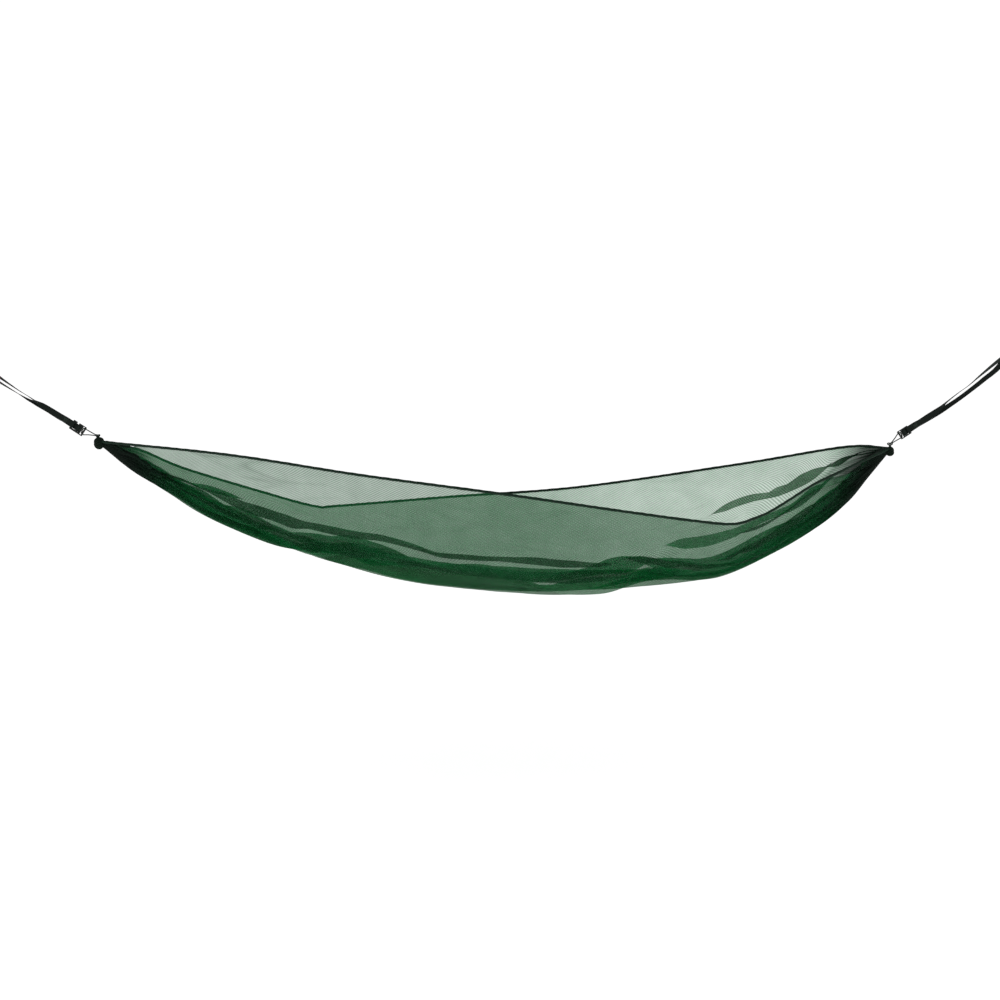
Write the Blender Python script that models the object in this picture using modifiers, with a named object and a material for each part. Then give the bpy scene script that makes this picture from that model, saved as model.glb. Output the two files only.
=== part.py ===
"""A gathered-end camping hammock, hung at both ends on webbing, in metres with +Z up.

The origin is on the hang line, halfway between the two supports. +X runs along the hammock to the right
and -Y is the near side. The hang line is level: it joins the middles of the two posts the straps go round.
"""

import math

import bmesh
import bpy
import numpy as np
from mathutils import Matrix, Vector

# Driving dimensions
HALF_SPAN = 1.6465  # from the origin to each post's middle
POST_RADIUS = 0.040  # the post that each strap loop goes round
LOOP_LEAN = 0.008  # one side of a loop sits this much higher, the other this much lower
WEBBING_WIDTH = 0.019
WEBBING_THICK = 0.0016
CLOTH_THICK = 0.002
HEM_RADIUS = 0.0038
HEM_TO_CLOTH = 0.0056  # from a hem's middle to the cloth's cut edge
CORD_RADIUS = 0.0016
BAR_HALF = 0.0025  # half the depth of a buckle and of its bars
BAR_ROUNDING = 0.0012
WINDOW_SLACK = 0.0004  # between the webbing's edges and the ends of a buckle's slots
CORD_RAIL = 0.0026  # the rail left at each end of the cord's slot
GAP = 0.0004  # between pieces that touch on the real hammock
LOOP_STEPS = 15  # odd, so that the back of a strap loop has a flat facet in its middle

# The two hems and the lowest line of the cloth, left to right. Points are x, y, z.
NEAR_HEM = [
    (-1.1612, -0.0110, -0.3100),
    (-0.7475, -0.1700, -0.3504),
    (-0.3595, -0.2650, -0.4067),
    (0.0460, -0.3050, -0.4593),
    (0.3755, -0.2950, -0.5070),
    (0.5945, -0.2650, -0.5373),
    (0.7050, -0.2450, -0.5469),
    (0.7745, -0.2250, -0.5293),
    (0.8305, -0.2050, -0.5058),
    (0.9515, -0.1550, -0.4380),
    (1.0115, -0.1250, -0.4123),
    (1.2065, -0.0110, -0.3320),
]
FAR_HEM = [
    (-1.1612, 0.0110, -0.3100),
    (-1.0675, 0.0600, -0.3361),
    (-0.9485, 0.1200, -0.3923),
    (-0.7185, 0.2150, -0.4700),
    (-0.5585, 0.2550, -0.5164),
    (-0.4765, 0.2700, -0.5160),
    (-0.1095, 0.3050, -0.4873),
    (0.2960, 0.3000, -0.4566),
    (0.8045, 0.2200, -0.3810),
    (1.1025, 0.0750, -0.3269),
    (1.2065, 0.0110, -0.3280),
]
KEEL = [
    (-1.1612, 0.0, -0.3280),
    (-1.0825, 0.0, -0.3936),
    (-0.9735, 0.0, -0.4630),
    (-0.8215, 0.0, -0.5540),
    (-0.5340, 0.0, -0.6650),
    (-0.2310, 0.0, -0.7390),
    (0.0965, 0.0, -0.7705),
    (0.3115, 0.0, -0.7740),
    (0.4565, 0.0, -0.7600),
    (0.6905, 0.0, -0.7240),
    (0.8625, 0.0, -0.6510),
    (1.0085, 0.0, -0.5660),
    (1.0965, 0.0, -0.4906),
    (1.1535, 0.0, -0.4210),
    (1.2065, 0.0, -0.3500),
]
WALL_POWER = 1.75  # how sharply a section turns up from the keel: 1 is a V and 2 a parabola

# Each side's strap and buckle. u runs from the cord bar towards the post, w is up across the webbing and n is
# +Y. A strand's points are u, w, n and its turn in degrees, where 0 shows its face to the near side.
LEFT = {
    "side": "left",
    "sign": -1,
    "cord_bar": (-1.2232, 0.0, -0.2805),
    "slope": math.radians(33),
    "half_width": 0.01525,
    "length": 0.0455,
    "thumb_plate": (0.0074, 0.0140),
    "middle_bar": 0.0195,
    "end_bar": 0.0405,
    "open_rail": (0.0235, 0.0300),
    "knot": (-1.1800, 0.0, -0.2933),
    "knot_radius": 0.0045,
    "legs": (0.0108, -0.0090),
    "channel": (-1.1761, 0.0, -0.3148),
    "channel_size": (0.0140, 0.0160),
    "upper": [
        (0.0845, -0.0010, -0.0014, 0),
        (0.1450, -0.0012, -0.0030, 40),
        (0.1750, -0.0010, -0.0040, 88),
        (0.1950, -0.0006, -0.0040, 96),
        (0.2360, -0.0016, -0.0020, 103),
        (0.3010, -0.0012, 0.0060, 120),
        (0.3800, 0.0006, 0.0200, 150),
    ],
    "lower": [
        (0.0845, -0.0010, 0.0072, 0),
        (0.1450, -0.0035, 0.0070, 15),
        (0.1750, -0.0080, 0.0064, 60),
        (0.1950, -0.0105, 0.0052, 78),
        (0.2360, -0.0117, 0.0020, 100),
        (0.3010, -0.0118, -0.0070, 118),
        (0.3800, -0.0080, -0.0200, 150),
    ],
    "upper_is_far": 1,
}
RIGHT = {
    "side": "right",
    "sign": 1,
    "cord_bar": (1.2506, 0.0, -0.29145),
    "slope": math.radians(33),
    "half_width": 0.01350,
    "length": 0.036,
    "thumb_plate": (0.0074, 0.0111),
    "middle_bar": 0.0165,
    "end_bar": 0.0310,
    "open_rail": None,
    "knot": (1.2204, 0.0, -0.3188),
    "knot_radius": 0.0050,
    "legs": (0.0088, -0.0090),
    "channel": (1.2204, 0.0, -0.3406),
    "channel_size": (0.0120, 0.0130),
    "upper": [
        (0.0750, -0.0002, -0.0014, 0),
        (0.1220, 0.0010, -0.0040, 35),
        (0.1500, 0.0048, -0.0080, 72),
        (0.1726, 0.0090, -0.0100, 90),
        (0.2180, 0.0130, -0.0100, 97),
        (0.2536, 0.0146, -0.0100, 102),
        (0.3110, 0.0225, -0.0120, 118),
        (0.3776, 0.0300, -0.0200, 136),
    ],
    "lower": [
        (0.0750, -0.0018, 0.0072, 0),
        (0.1220, -0.0045, 0.0090, 14),
        (0.1500, -0.0062, 0.0100, 36),
        (0.1726, -0.0070, 0.0110, 50),
        (0.2180, -0.0062, 0.0130, 56),
        (0.2536, -0.0042, 0.0150, 56),
        (0.3110, 0.0005, 0.0190, 52),
        (0.3776, 0.0085, 0.0260, 42),
    ],
    "upper_is_far": -1,
}

for thing in list(bpy.data.objects):
    bpy.data.objects.remove(thing)

parts = bpy.data.collections.new("camping_hammock")
cutters = bpy.data.collections.new("cutters")
bpy.context.scene.collection.children.link(parts)
bpy.context.scene.collection.children.link(cutters)


def material(name, colour, roughness):
    """A plain material of one colour."""
    made = bpy.data.materials.new(name)
    made.use_nodes = True
    shader = made.node_tree.nodes["Principled BSDF"]
    shader.inputs["Base Color"].default_value = (*colour, 1)
    shader.inputs["Roughness"].default_value = roughness
    return made


MESH_CLOTH = material("mesh_cloth", (0.055, 0.13, 0.075), 0.7)
HEM_CLOTH = material("hem_cloth", (0.012, 0.040, 0.022), 0.75)
WEBBING = material("webbing", (0.012, 0.018, 0.014), 0.8)
CORD = material("cord", (0.010, 0.026, 0.016), 0.75)
THREAD = material("thread", (0.016, 0.024, 0.018), 0.7)
PLASTIC = material("black_plastic", (0.010, 0.012, 0.011), 0.35)


def add(name, data, finish):
    """A new object with one material, in the parts' collection."""
    made = bpy.data.objects.new(name, data)
    data.materials.append(finish)
    parts.objects.link(made)
    return made


def shade_round(mesh):
    """Smooth shading, with edges sharper than 40 degrees left crisp."""
    mesh.shade_smooth()
    mesh.set_sharp_from_angle(angle=math.radians(40))


def spline(points, per_span):
    """Catmull-Rom curve through points of any width, with per_span rows to each span."""
    rows = np.array(points, float)
    rows = np.vstack([2 * rows[0] - rows[1], rows, 2 * rows[-1] - rows[-2]])
    t = np.linspace(0, 1, per_span, endpoint=False)[:, None]
    spans = []
    for a, b, c, d in zip(rows, rows[1:], rows[2:], rows[3:]):
        bend = (2 * a - 5 * b + 4 * c - d) * t**2 + (3 * b - a - 3 * c + d) * t**3
        spans.append(b + 0.5 * ((c - a) * t + bend))
    return np.vstack([*spans, rows[-2][None]])


def smooth_path(points, count):
    """The same curve as count rows at equal steps along it."""
    fine = spline(points, 24)
    run = np.concatenate([[0], np.cumsum(np.linalg.norm(np.diff(fine[:, :3], axis=0), axis=1))])
    wanted = np.linspace(0, run[-1], count)
    return np.stack([np.interp(wanted, run, column) for column in fine.T], axis=1)


def sheet(name, rows, thickness, finish):
    """A closed sheet of even thickness about an open surface, an array of points: along, across, xyz."""
    along, across = rows.shape[:2]
    mesh = bpy.data.meshes.new(name)
    shape = bmesh.new()
    bmesh.ops.create_grid(shape, x_segments=along - 1, y_segments=across - 1, size=0.5)
    for vertex in shape.verts:
        i = round((vertex.co.x + 0.5) * (along - 1))
        j = round((vertex.co.y + 0.5) * (across - 1))
        vertex.co = rows[i, j]
    shape.to_mesh(mesh)
    shape.free()
    shade_round(mesh)
    made = add(name, mesh, finish)
    wall = made.modifiers.new("thickness", "SOLIDIFY")
    wall.thickness = thickness
    wall.offset = 0
    return made


def round_line(name, points, radius, finish, resolution=2):
    """A round bar along a line of points, with filled ends."""
    curve = bpy.data.curves.new(name, "CURVE")
    curve.dimensions = "3D"
    curve.bevel_depth = radius
    curve.bevel_resolution = resolution
    curve.use_fill_caps = True
    line = curve.splines.new("POLY")
    line.points.add(len(points) - 1)
    for point, place in zip(line.points, points):
        point.co = (*place, 1)
    return add(name, curve, finish)


def section(fraction, count, trim):
    """One cross-section of the cloth from the near edge over the keel to the far edge.

    Across the section y grows evenly and z with a power of it. trim keeps the edge clear of the hem."""
    near, keel, far = (line[fraction] for line in (near_line, keel_line, far_line))
    points = []
    for v in np.linspace(-1, 1, count):
        hem = near if v < 0 else far
        girth = np.linalg.norm(hem - keel)
        k = abs(v) * (1 - trim / girth)
        point = keel + (hem - keel) * np.array([k, k, k**WALL_POWER])
        points.append(point)
    return points


# The cloth and its hems
BED_STEPS = 61
near_line = smooth_path(NEAR_HEM, BED_STEPS)
keel_line = smooth_path(KEEL, BED_STEPS)
far_line = smooth_path(FAR_HEM, BED_STEPS)
bed = np.array([section(i, 17, HEM_TO_CLOTH) for i in range(BED_STEPS)])
sheet("bed_fabric", bed, CLOTH_THICK, MESH_CLOTH)
round_line("near_hem", near_line, HEM_RADIUS, HEM_CLOTH)
round_line("far_hem", far_line, HEM_RADIUS, HEM_CLOTH)


def ruffled_channel(end):
    """The end channel drawn up on its cord: a ball flattened along X, its folds running in to the middle."""
    half_depth, radius = end["channel_size"]
    folds, fold_depth = 11, 0.07
    mesh = bpy.data.meshes.new("channel")
    shape = bmesh.new()
    bmesh.ops.create_uvsphere(shape, u_segments=44, v_segments=10, radius=1)
    for vertex in shape.verts:
        across, up, along = vertex.co
        swell = 1 + fold_depth * math.cos(folds * math.atan2(up, across)) * math.hypot(up, across)
        vertex.co = (half_depth * along, radius * across * swell, radius * up * swell)
    shape.to_mesh(mesh)
    shape.free()
    shade_round(mesh)
    made = add(end["side"] + "_end_channel", mesh, HEM_CLOTH)
    made.location = end["channel"]


def directions(end):
    """The buckle's own directions in world space: u towards the post, w across and up, n away from the
    near side."""
    along = Vector((end["sign"] * math.cos(end["slope"]), 0, math.sin(end["slope"])))
    across = Vector((-end["sign"] * math.sin(end["slope"]), 0, math.cos(end["slope"])))
    return along, across, Vector((0, 1, 0))


def place(end, u, w, n):
    """A point given in the buckle's own directions, in world space."""
    along, across, away = directions(end)
    return Vector(end["cord_bar"]) + along * float(u) + across * float(w) + away * float(n)


def webbing(name, end, rows, square_end=False):
    """Webbing along rows of u, w, n and turn in degrees. Its width runs across the path, turned about it.

    With square_end its last edge lies in a plane across X."""
    along, across, away = (np.array(v) for v in directions(end))
    middle = np.array(end["cord_bar"]) + rows[:, :1] * along + rows[:, 1:2] * across + rows[:, 2:3] * away
    ahead = np.gradient(middle, axis=0)
    if square_end:
        ahead[-1] = (1, 0, 0)
    ahead /= np.linalg.norm(ahead, axis=1)[:, None]
    turn = np.radians(rows[:, 3:4])
    wide = np.cos(turn) * across + np.sin(turn) * away
    wide = wide - (wide * ahead).sum(1)[:, None] * ahead
    wide *= WEBBING_WIDTH / 2 / np.linalg.norm(wide, axis=1)[:, None]
    sheet(name, np.stack([middle - wide, middle + wide], axis=1), WEBBING_THICK, WEBBING)


def arc(centre, radius, start, stop, steps):
    """Points u, w, n, turn round a bar at u = centre. The angle runs from +u towards +n, in degrees."""
    angles = np.radians(np.linspace(start, stop, steps))
    return [(centre + radius * math.cos(a), 0, radius * math.sin(a), 0) for a in angles]


WRAP = math.hypot(*[BAR_HALF - BAR_ROUNDING] * 2) + BAR_ROUNDING + GAP + WEBBING_THICK / 2
TAIL_LAYER = WRAP + WEBBING_THICK + GAP
LOAD_LAYER = TAIL_LAYER + WEBBING_THICK + GAP
TAIL_LENGTH = 0.030
TAIL_DROP = 0.0008  # how far the tail's end lies nearer the strap than its start
WRAP_FALL = (0.0006, 0.0030)  # how far the strand going in and the one coming out dip between the two bars
LAID_LENGTH = 0.025  # beyond the end bar, where the adjustable strand still lies on the tail
SEAM_ENTRY = 0.006  # beyond the end bar, where the sewn end's two layers start to close up
ENTRY_SHARE = 0.8  # the layers' spread there, as a share of the wrap's radius
SEAM_START, SEAM_LENGTH = 0.015, 0.020  # beyond the end bar, where the sewn end lies on its own strap
SEAM_LAYER = WEBBING_THICK / 2 + GAP
STITCH_THICK = 0.0006  # how far the stitches stand on the webbing
STITCH_SHARE = (0.6, 0.75)  # the stitched block's share of the seam's length and of the webbing's width


POST_APPROACH = (0.030, 0.012, 0.0006)  # how far short of the post's middle a strand's last three points are
APPROACH_FALL = 0.35  # how much a strand falls there for each metre away from the post


def post_end(end, height, depth):
    """The last points of a strand, where it reaches the post level, in the buckle's own directions."""
    along, across, _ = directions(end)
    rows = []
    for back in POST_APPROACH:
        point = Vector((end["sign"] * (HALF_SPAN - back), depth, height - back * APPROACH_FALL))
        point -= Vector(end["cord_bar"])
        rows.append((point.dot(along), point.dot(across), depth))
    return rows


def straps(end):
    """One strap: its loop round the post, its sewn and adjustable strands, the buckle's wrap, its tail."""
    side, bar, middle = end["side"], end["end_bar"], end["middle_bar"]
    reach = POST_RADIUS + WEBBING_THICK / 2 + GAP
    far = end["upper_is_far"]
    last_turn = 180 if end["upper"][-1][3] > 90 else 0

    seam = bar + SEAM_START
    entry, spread = bar + SEAM_ENTRY, WRAP * ENTRY_SHARE
    sewn = [(seam + SEAM_LENGTH, 0, SEAM_LAYER, 0), (seam, 0, SEAM_LAYER, 0), (entry, 0, spread, 0)]
    sewn += arc(bar, WRAP, 90, 270, 9)
    sewn += [(entry, 0, -spread, 0), (seam, 0, -SEAM_LAYER, 0), (seam + SEAM_LENGTH, 0, -SEAM_LAYER, 0)]
    upper_end = [(*row, last_turn) for row in post_end(end, far * LOOP_LEAN, far * reach)]
    webbing(side + "_strap_upper", end, spline(sewn + end["upper"] + upper_end, 3), True)

    last_turn = 180 if end["lower"][-1][3] > 90 else 0
    lower_end = [(*row, last_turn) for row in post_end(end, -far * LOOP_LEAN, -far * reach)]
    start = [(bar + GAP, 0, LOAD_LAYER, 0), (bar + LAID_LENGTH, 0, LOAD_LAYER, 0)]
    webbing(side + "_strap_lower", end, spline(start + end["lower"] + lower_end, 4), True)

    tail = [(bar + GAP, 0, TAIL_LAYER, 0), (bar + TAIL_LENGTH / 2, 0, TAIL_LAYER - TAIL_DROP / 2, 0)]
    tail += [(bar + TAIL_LENGTH, 0, TAIL_LAYER - TAIL_DROP, 0)]
    webbing(side + "_strap_tail", end, spline(tail, 3))

    slack = bar - middle
    third, half = bar - 0.35 * slack, bar - 0.5 * slack
    wrap = [(bar - GAP, 0, LOAD_LAYER, 0), (third, 0, LOAD_LAYER - WRAP_FALL[0], 0)]
    wrap += [(middle + WRAP, 0, WRAP + WEBBING_THICK, 0)]
    wrap += arc(middle, WRAP, 90, 360, 11)
    wrap += [(half, 0, TAIL_LAYER - WRAP_FALL[1], 0), (bar - GAP, 0, TAIL_LAYER, 0)]
    webbing(side + "_strap_wrap", end, spline(wrap, 3))

    sweep = np.radians(np.linspace(-90, 90, LOOP_STEPS + 1))
    out = end["sign"] * (HALF_SPAN + reach * np.cos(sweep))
    middle_line = np.stack([out, reach * np.sin(sweep), far * LOOP_LEAN * np.sin(sweep)], axis=1)
    upright = np.array((0, 0, WEBBING_WIDTH / 2))  # the width stands upright, flat against the post
    rows = np.stack([middle_line - upright, middle_line + upright], axis=1)
    sheet(side + "_strap_loop", rows, WEBBING_THICK, WEBBING)


def bartack(end):
    """The block of stitches through the sewn end, standing on the near face of the webbing."""
    side = end["side"]
    bpy.ops.mesh.primitive_cube_add(size=1)
    made = bpy.context.object
    made.name = side + "_strap_bartack"
    size = (SEAM_LENGTH * STITCH_SHARE[0], STITCH_THICK, WEBBING_WIDTH * STITCH_SHARE[1])
    made.data.transform(Matrix.Diagonal((*size, 1)))
    made.rotation_euler = (0, -end["sign"] * end["slope"], 0)
    depth = SEAM_LAYER + WEBBING_THICK / 2 + GAP + STITCH_THICK / 2
    made.location = place(end, end["end_bar"] + SEAM_START + SEAM_LENGTH / 2, 0, -depth)
    made.data.materials.append(THREAD)
    move_to(parts, made)


def move_to(collection, made):
    """Puts an object that an operator made into one of the two collections."""
    for holder in list(made.users_collection):
        holder.objects.unlink(made)
    collection.objects.link(made)


def block(name, end, low, high, collection):
    """A box between two corners in the buckle's own directions, turned to the strap's slope."""
    size = [h - l for l, h in zip(low, high)]
    middle = [(h + l) / 2 for l, h in zip(low, high)]
    bpy.ops.mesh.primitive_cube_add(size=1)
    made = bpy.context.object
    made.name = name
    made.data.transform(Matrix.Diagonal((size[0], size[2], size[1], 1)))
    made.data.transform(Matrix.Translation((middle[0] * end["sign"], middle[2], middle[1])))
    move_to(collection, made)
    return made


CUT_REACH = 0.010  # how far a cutter stands out of the buckle
RAIL_GAP_OVERLAP = 0.001  # how far the cut in the open rail runs into the slot beside it


def buckle(end):
    """A moulded buckle: two side rails, a cord bar, a thumb plate, a middle bar and an end bar."""
    side, half = end["side"], end["half_width"]
    window = WEBBING_WIDTH / 2 + WINDOW_SLACK
    cord_window = half - CORD_RAIL
    pivot = bpy.data.objects.new(side + "_buckle_pivot", None)
    parts.objects.link(pivot)
    pivot.location = place(end, end["end_bar"], 0, 0)
    pivot.rotation_euler = (0, -end["sign"] * end["slope"], 0)

    low = (-BAR_HALF, -half, -BAR_HALF)
    high = (end["length"] - BAR_HALF, half, BAR_HALF)
    frame = block(side + "_buckle", end, low, high, parts)
    plate_start, plate_stop = end["thumb_plate"]
    openings = [
        (BAR_HALF, plate_start, cord_window),
        (plate_stop, end["middle_bar"] - BAR_HALF, window),
        (end["middle_bar"] + BAR_HALF, end["end_bar"] - BAR_HALF, window),
    ]
    tools = [
        block(f"{side}_slot_{k}", end, (start, -wide, -CUT_REACH), (stop, wide, CUT_REACH), cutters)
        for k, (start, stop, wide) in enumerate(openings)
    ]
    if end["open_rail"]:
        start, stop = end["open_rail"]
        low = (start, window - RAIL_GAP_OVERLAP, -CUT_REACH)
        high = (stop, half + CUT_REACH, CUT_REACH)
        tools.append(block(side + "_rail_gap", end, low, high, cutters))
    offset = Matrix.Translation((-end["sign"] * end["end_bar"], 0, 0))
    for tool in tools:
        tool.data.transform(offset)
        tool.parent = pivot
        tool.hide_render = True
        tool.display_type = "WIRE"
        cut = frame.modifiers.new(tool.name, "BOOLEAN")
        cut.object = tool
        cut.solver = "EXACT"
    frame.data.transform(offset)
    frame.parent = pivot
    frame.data.materials.append(PLASTIC)
    rounding = frame.modifiers.new("rounding", "BEVEL")
    rounding.width = BAR_ROUNDING
    rounding.segments = 2
    rounding.limit_method = "ANGLE"


def drawcord(end):
    """The cord from the knot to the buckle, round its cord bar and back, with a ball for the knot."""
    along, across, away = directions(end)
    to_knot = Vector(end["knot"]) - Vector(end["cord_bar"])
    knot_u, knot_w = to_knot.dot(along), to_knot.dot(across)
    leg_up, leg_down = end["legs"]
    clear = end["knot_radius"] + GAP + CORD_RADIUS * 0.4
    span = Vector((knot_u, knot_w))

    def leg_start(w, n):
        inward = (Vector((0, w)) - span).normalized() * clear
        return (knot_u + inward.x, knot_w + inward.y, n)

    half_way = 0.45
    # the cord's way round the bar, on the near side. Points are u, the share of the leg's w, and n
    near_half = [
        (-0.0030, 1.0, -0.0052),
        (0.0018, 0.97, -0.0055),
        (0.0046, 0.75, -0.0031),
    ]
    route = [
        leg_start(leg_up, -CORD_RADIUS),
        (knot_u * half_way, knot_w * half_way + leg_up * 0.53, -0.0036),
        *[(u, share * leg_up, n) for u, share, n in near_half],
        (0.0051, 0.0, 0.0),
        *[(u, share * leg_down, -n) for u, share, n in reversed(near_half)],
        (knot_u * half_way, knot_w * half_way + leg_down * 0.53, 0.0036),
        leg_start(leg_down, CORD_RADIUS),
    ]
    line = [place(end, *row) for row in smooth_path(route, 44)]
    round_line(end["side"] + "_drawcord", line, CORD_RADIUS, CORD)
    bpy.ops.mesh.primitive_ico_sphere_add(subdivisions=3, radius=end["knot_radius"], location=end["knot"])
    knot = bpy.context.object
    knot.name = end["side"] + "_cord_knot"
    knot.data.materials.append(CORD)
    shade_round(knot.data)
    move_to(parts, knot)


for end in (LEFT, RIGHT):
    ruffled_channel(end)
    straps(end)
    bartack(end)
    buckle(end)
    drawcord(end)
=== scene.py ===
import math

import bmesh
import bpy
import numpy as np
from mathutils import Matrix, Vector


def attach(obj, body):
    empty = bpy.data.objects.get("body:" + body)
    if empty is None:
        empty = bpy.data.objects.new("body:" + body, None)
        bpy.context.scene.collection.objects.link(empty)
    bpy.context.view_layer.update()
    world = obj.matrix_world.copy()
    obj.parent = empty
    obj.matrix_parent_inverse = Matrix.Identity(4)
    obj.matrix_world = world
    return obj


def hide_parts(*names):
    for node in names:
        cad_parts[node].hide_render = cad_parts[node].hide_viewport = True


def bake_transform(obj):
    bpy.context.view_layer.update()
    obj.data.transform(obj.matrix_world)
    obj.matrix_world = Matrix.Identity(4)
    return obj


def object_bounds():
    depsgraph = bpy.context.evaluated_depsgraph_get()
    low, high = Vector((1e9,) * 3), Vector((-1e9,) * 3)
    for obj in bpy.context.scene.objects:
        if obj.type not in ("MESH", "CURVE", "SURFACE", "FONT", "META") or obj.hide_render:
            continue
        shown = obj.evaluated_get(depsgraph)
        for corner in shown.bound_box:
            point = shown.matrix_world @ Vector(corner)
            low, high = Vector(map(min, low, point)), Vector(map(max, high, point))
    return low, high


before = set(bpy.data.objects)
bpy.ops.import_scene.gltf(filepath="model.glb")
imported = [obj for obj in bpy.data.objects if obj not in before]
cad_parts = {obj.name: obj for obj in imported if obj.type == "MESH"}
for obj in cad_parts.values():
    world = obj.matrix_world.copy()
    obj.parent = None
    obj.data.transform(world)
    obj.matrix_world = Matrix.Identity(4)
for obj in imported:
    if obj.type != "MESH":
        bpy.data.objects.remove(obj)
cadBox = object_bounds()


# small helpers

def unit(rows):
    return rows / np.linalg.norm(rows, axis=-1, keepdims=True)


def runLength(path):
    # distance along a line of points, starting at 0
    steps = np.linalg.norm(np.diff(path, axis=0), axis=1)
    return np.concatenate([[0.0], np.cumsum(steps)])


def spline(points, perSpan):
    # Catmull-Rom curve through the points, perSpan rows to each span
    rows = np.array(points, float)
    rows = np.vstack([2 * rows[0] - rows[1], rows, 2 * rows[-1] - rows[-2]])
    t = np.linspace(0, 1, perSpan, endpoint=False)[:, None]
    spans = []
    for a, b, c, d in zip(rows, rows[1:], rows[2:], rows[3:]):
        bend = (2 * a - 5 * b + 4 * c - d) * t**2 + (3 * b - a - 3 * c + d) * t**3
        spans.append(b + 0.5 * ((c - a) * t + bend))
    return np.vstack([*spans, rows[-2][None]])


def atFractions(points, fractions):
    # the same curve read at given fractions of its length
    fine = spline(points, 24)
    run = runLength(fine[:, :3])
    return np.stack([np.interp(fractions * run[-1], run, column) for column in fine.T], axis=1)


def newPiece(name, mesh, material):
    piece = bpy.data.objects.new(name, mesh)
    mesh.materials.append(material)
    bpy.context.scene.collection.objects.link(piece)
    return piece


def gridMesh(name, points, uv=None, wrapped=False, closeEnds=False):
    # a surface on a grid of points: row i runs along, column j across, and each quad joins
    # (i, j), (i+1, j), (i+1, j+1), (i, j+1). wrapped joins the last column to the first.
    rows, columns = points.shape[:2]
    across = columns if wrapped else columns - 1
    i, j = np.meshgrid(np.arange(rows - 1), np.arange(across), indexing="ij")
    after = (j + 1) % columns
    quads = np.stack([i * columns + j, i * columns + after, (i + 1) * columns + after,
                      (i + 1) * columns + j], axis=-1).reshape(-1, 4)
    mesh = bpy.data.meshes.new(name)
    mesh.from_pydata(points.reshape(-1, 3).tolist(), [], quads.tolist())
    if uv is not None:
        # uv holds one more column than points when the grid is wrapped, so the seam isn't smeared
        wide = uv.shape[1]
        k = np.stack([i * wide + j, i * wide + j + 1, (i + 1) * wide + j + 1, (i + 1) * wide + j], axis=-1)
        layer = mesh.uv_layers.new(name="cloth")
        layer.data.foreach_set("uv", uv.reshape(-1, 2)[k.reshape(-1)].astype(np.float32).ravel())
    if closeEnds:
        shape = bmesh.new()
        shape.from_mesh(mesh)
        bmesh.ops.remove_doubles(shape, verts=shape.verts, dist=1e-7)
        bmesh.ops.recalc_face_normals(shape, faces=shape.faces)
        shape.to_mesh(mesh)
        shape.free()
    mesh.shade_smooth()
    return mesh


def sweep(name, path, sideways, outline, material, scale=None, roundEnds=0.0):
    # carries an outline of (side, face) offsets along a path: point = path + side * a + face * b,
    # where side is the given direction made square to the path and face is square to both.
    # roundEnds draws the outline in to a point over that length at each end, as a quarter circle
    path = np.asarray(path, float)
    ahead = unit(np.gradient(path, axis=0))
    side = np.broadcast_to(np.asarray(sideways, float), path.shape)
    side = unit(side - (side * ahead).sum(1)[:, None] * ahead)
    face = np.cross(ahead, side)
    outline = np.asarray(outline, float)
    if outline.ndim == 2:
        outline = np.broadcast_to(outline, (len(path), *outline.shape))
    size = np.ones(len(path)) if scale is None else np.asarray(scale, float)
    if roundEnds > 0:
        turn = np.linspace(0, math.pi / 2, 6)
        first = path[0] - ahead[0] * (roundEnds * np.cos(turn[:-1]))[:, None]
        last = path[-1] + ahead[-1] * (roundEnds * np.cos(turn[:-1]))[::-1][:, None]
        path = np.vstack([first, path, last])
        side = np.vstack([np.repeat(side[:1], 5, 0), side, np.repeat(side[-1:], 5, 0)])
        face = np.vstack([np.repeat(face[:1], 5, 0), face, np.repeat(face[-1:], 5, 0)])
        outline = np.concatenate([np.repeat(outline[:1], 5, 0), outline, np.repeat(outline[-1:], 5, 0)])
        size = np.concatenate([size[0] * np.sin(turn[:-1]), size, size[-1] * np.sin(turn[:-1])[::-1]])
    run = runLength(path)
    points = (path[:, None] + side[:, None] * outline[..., :1] * size[:, None, None]
              + face[:, None] * outline[..., 1:] * size[:, None, None])
    loop = np.concatenate([outline[len(outline) // 2], outline[len(outline) // 2][:1]])
    girth = runLength(loop)
    uv = np.stack(np.broadcast_arrays(run[:, None], girth[None]), axis=-1)
    return newPiece(name, gridMesh(name, points, uv, wrapped=True, closeEnds=True), material)


def circle(radius, sides):
    turn = np.linspace(0, 2 * math.pi, sides, endpoint=False)
    return np.stack([radius * np.cos(turn), radius * np.sin(turn)], axis=1)


def ripples(x, y, seed, count, longX, longY):
    # a smooth uneven field from -1 to 1: count waves with uneven lengths and phases, added and levelled off
    draw = np.random.default_rng(seed)
    total = np.zeros(np.broadcast(x, y).shape)
    for _ in range(count):
        kx = 2 * math.pi / longX * draw.uniform(0.4, 1.6) * draw.choice([-1, 1])
        ky = 2 * math.pi / longY * draw.uniform(0.4, 1.6)
        total += np.cos(kx * x + ky * y + draw.uniform(0, 2 * math.pi))
    return np.tanh(total / math.sqrt(count))


def smooth(value, low, high):
    t = np.clip((value - low) / (high - low), 0, 1)
    return t * t * (3 - 2 * t)


# the camera looks level along Y
cameraFacts = {"place": (0.0387, -4.2087, -0.33), "lens": 50, "raise": -0.052}

cameraData = bpy.data.cameras.new("camera")
cameraData.lens = cameraFacts["lens"]
cameraData.sensor_width = 36
cameraData.shift_y = cameraFacts["raise"]
cameraData.clip_end = 200
camera = bpy.data.objects.new("camera", cameraData)
camera.location = cameraFacts["place"]
camera.rotation_euler = (math.pi / 2, 0, 0)
bpy.context.scene.collection.objects.link(camera)
bpy.context.scene.camera = camera
print("camera set")


# the materials

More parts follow.
